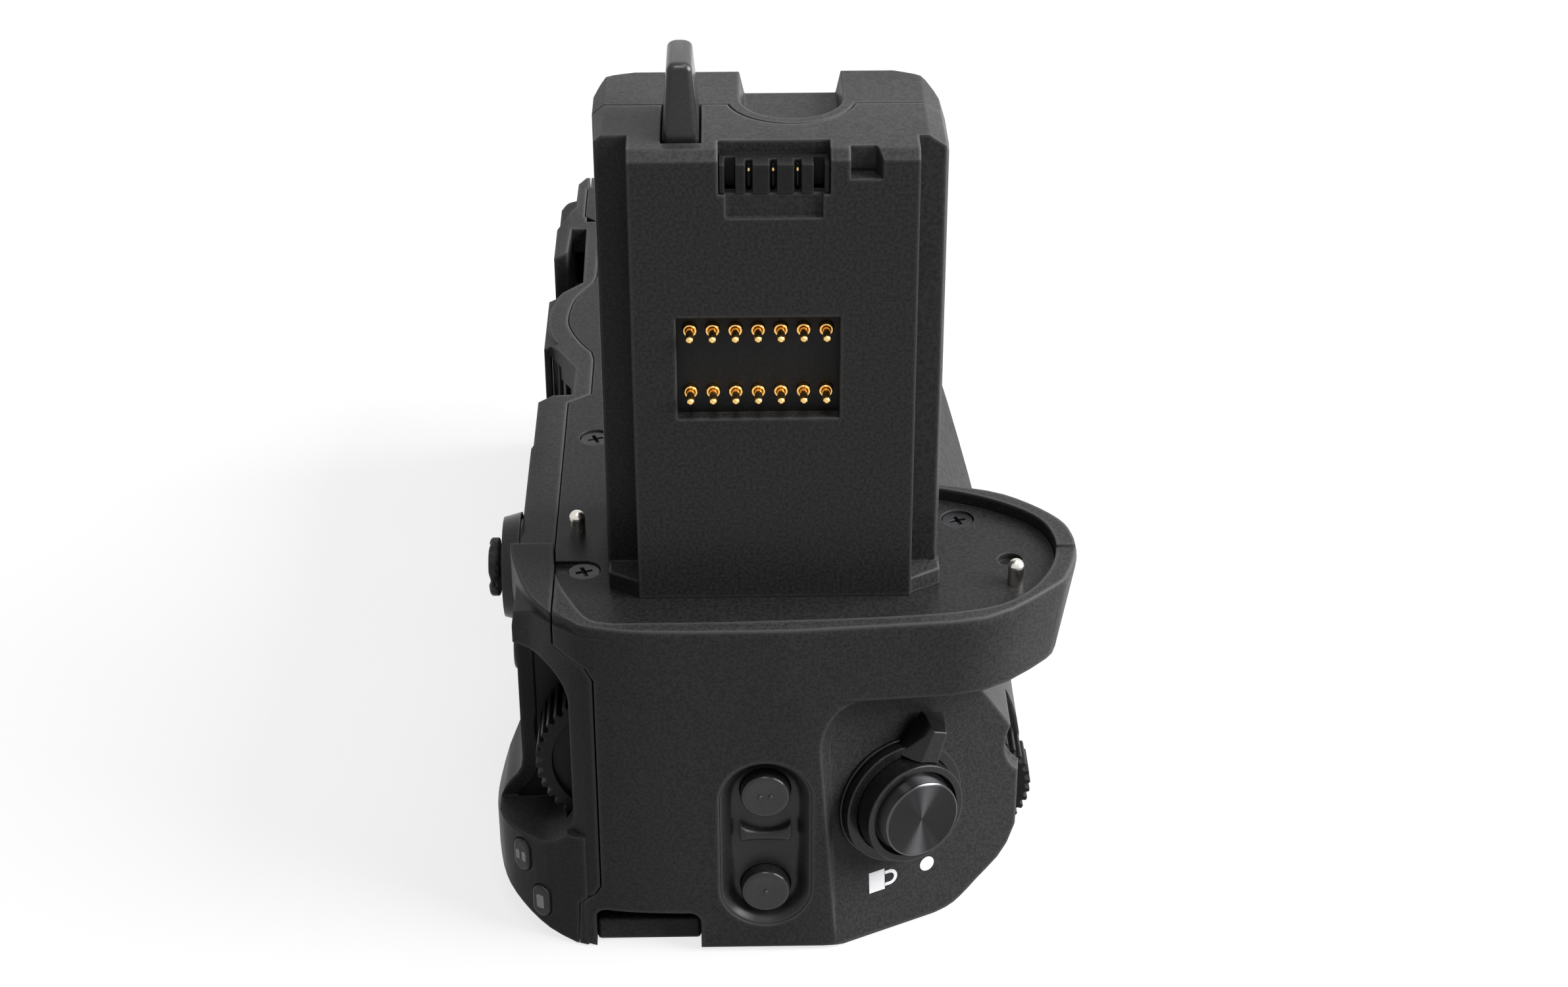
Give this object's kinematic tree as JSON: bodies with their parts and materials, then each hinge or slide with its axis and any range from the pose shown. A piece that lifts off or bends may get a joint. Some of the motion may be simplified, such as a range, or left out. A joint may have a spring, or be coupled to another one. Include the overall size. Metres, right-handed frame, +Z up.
{
  "type": "camera battery grip",
  "caption": "Vertical battery grip for a mirrorless camera: hollow body with battery drawer, contact chimney, attachment screw, shutter release with lock lever, dials, joystick and buttons.",
  "frame": {"origin": "mouth of the tripod socket, on the base", "axes": "+Z up along the tripod and attachment screws, +X to the shutter end, +Y to the camera's lens side"},
  "size_m": [0.1329, 0.0726, 0.1125],
  "materials": {
    "black_plastic": "fine grain",
    "plate_plastic": "semi-gloss",
    "dark_plastic": "satin",
    "rubber": "matte",
    "gold": "plated",
    "steel": "turned",
    "nickel": "polished",
    "dark_steel": "black oxide",
    "spun_metal": "spun, anodised",
    "board": "solder mask"
  },
  "bodies": {
    "grip": {"main_shell": "black_plastic", "rear_cover": "black_plastic", "top_plate": "plate_plastic", "base_plate": "black_plastic", "tripod_bush": "steel", "chimney_front": "black_plastic", "chimney_back": "black_plastic", "pin_block": "dark_plastic", "pin_barrels": "gold", "terminal_block": "dark_plastic", "terminal_contacts": "gold", "finger_spring": "steel", "guide_pins": "nickel", "plate_screws": "dark_steel", "base_screws": "dark_steel", "screw_bush": "steel", "tray_rails": "dark_plastic", "bay_connector": "dark_plastic", "main_board": "board", "button_board": "board", "button_pocket": "black_plastic", "strap_bar": "black_plastic", "shutter_collar": "plate_plastic", "release_board": "board", "shutter_switch": "dark_plastic", "rear_dial_mount": "dark_plastic", "front_dial_mount": "dark_plastic", "stick_boss": "black_plastic", "grip_rubber": "rubber"},
    "drive": {"attachment_wheel": "dark_plastic", "attachment_screw": "steel"},
    "tray": {"battery_tray": "black_plastic", "tray_cap": "black_plastic", "tray_contacts": "gold"},
    "latch": {"latch_key": "dark_plastic"},
    "pins": {"pin_plungers": "gold"},
    "finger": {"finger": "plate_plastic"},
    "release": {"shutter_button": "spun_metal"},
    "lever": {"lock_lever": "plate_plastic"},
    "upper_button": {"upper_button": "dark_plastic"},
    "lower_button": {"lower_button": "dark_plastic"},
    "rear_dial": {"rear_dial": "dark_plastic"},
    "front_dial": {"front_dial": "dark_plastic"},
    "stick_gimbal": {"stick_gimbal": "steel"},
    "stick_cap": {"stick_cap": "rubber"},
    "rear_button": {"rear_button": "dark_plastic"},
    "oval_a": {"oval_button_a": "dark_plastic"},
    "oval_b": {"oval_button_b": "dark_plastic"}
  },
  "joints": [
    {"name": "screw_turn", "type": "hinge", "parent": "grip", "child": "drive", "pos_m": [0, 0, 0.04], "axis": [0, 0, 1], "continuous": true},
    {"name": "tray_slide", "type": "slide", "parent": "grip", "child": "tray", "axis": [-1, 0, 0], "range_m": [0, 0.112]},
    {"name": "latch_turn", "type": "hinge", "parent": "tray", "child": "latch", "pos_m": [-0.046, 0.0047, 0.0345], "axis": [1, 0, 0], "range_deg": [0, 90]},
    {"name": "pin_press", "type": "slide", "parent": "grip", "child": "pins", "axis": [-1, 0, 0], "range_m": [0, 0.001], "stiffness_N_per_m": 300},
    {"name": "finger_press", "type": "slide", "parent": "grip", "child": "finger", "axis": [0, 0, -1], "range_m": [0, 0.005], "stiffness_N_per_m": 200, "deforming": ["finger_spring"]},
    {"name": "shutter_press", "type": "slide", "parent": "grip", "child": "release", "axis": [-0.8912, -0.4482, -0.0698], "range_m": [0, 0.0012], "stiffness_N_per_m": 400},
    {"name": "lock_turn", "type": "hinge", "parent": "grip", "child": "lever", "pos_m": [0.07718, 0.02688, 0.01915], "axis": [0.8912, 0.4482, 0.0698], "range_deg": [-38, 0]},
    {"name": "upper_button_press", "type": "slide", "parent": "grip", "child": "upper_button", "axis": [-1, 0, 0], "range_m": [0, 0.0006], "stiffness_N_per_m": 300},
    {"name": "lower_button_press", "type": "slide", "parent": "grip", "child": "lower_button", "axis": [-1, 0, 0], "range_m": [0, 0.0006], "stiffness_N_per_m": 300},
    {"name": "rear_dial_turn", "type": "hinge", "parent": "grip", "child": "rear_dial", "pos_m": [0.073, -0.0073, 0.0245], "axis": [1, 0, 0], "continuous": true},
    {"name": "front_dial_turn", "type": "hinge", "parent": "grip", "child": "front_dial", "pos_m": [0.064, 0.0366, 0.0128], "axis": [1, 0, 0], "continuous": true},
    {"name": "stick_tilt_up", "type": "hinge", "parent": "grip", "child": "stick_gimbal", "pos_m": [0.054, -0.017, 0.0386], "axis": [1, 0, 0], "range_deg": [-7, 7], "stiffness_Nm_per_rad": 0.02},
    {"name": "stick_tilt_side", "type": "hinge", "parent": "stick_gimbal", "child": "stick_cap", "pos_m": [0.054, -0.017, 0.0386], "axis": [0, 0, 1], "range_deg": [-7, 7], "stiffness_Nm_per_rad": 0.02},
    {"name": "rear_button_press", "type": "slide", "parent": "grip", "child": "rear_button", "axis": [0, 1, 0], "range_m": [0, 0.0006], "stiffness_N_per_m": 300},
    {"name": "oval_a_press", "type": "slide", "parent": "grip", "child": "oval_a", "axis": [-0.7547, 0.6561, 0], "range_m": [0, 0.0006], "stiffness_N_per_m": 300},
    {"name": "oval_b_press", "type": "slide", "parent": "grip", "child": "oval_b", "axis": [-0.8387, 0.5446, 0], "range_m": [0, 0.0006], "stiffness_N_per_m": 300}
  ]
}
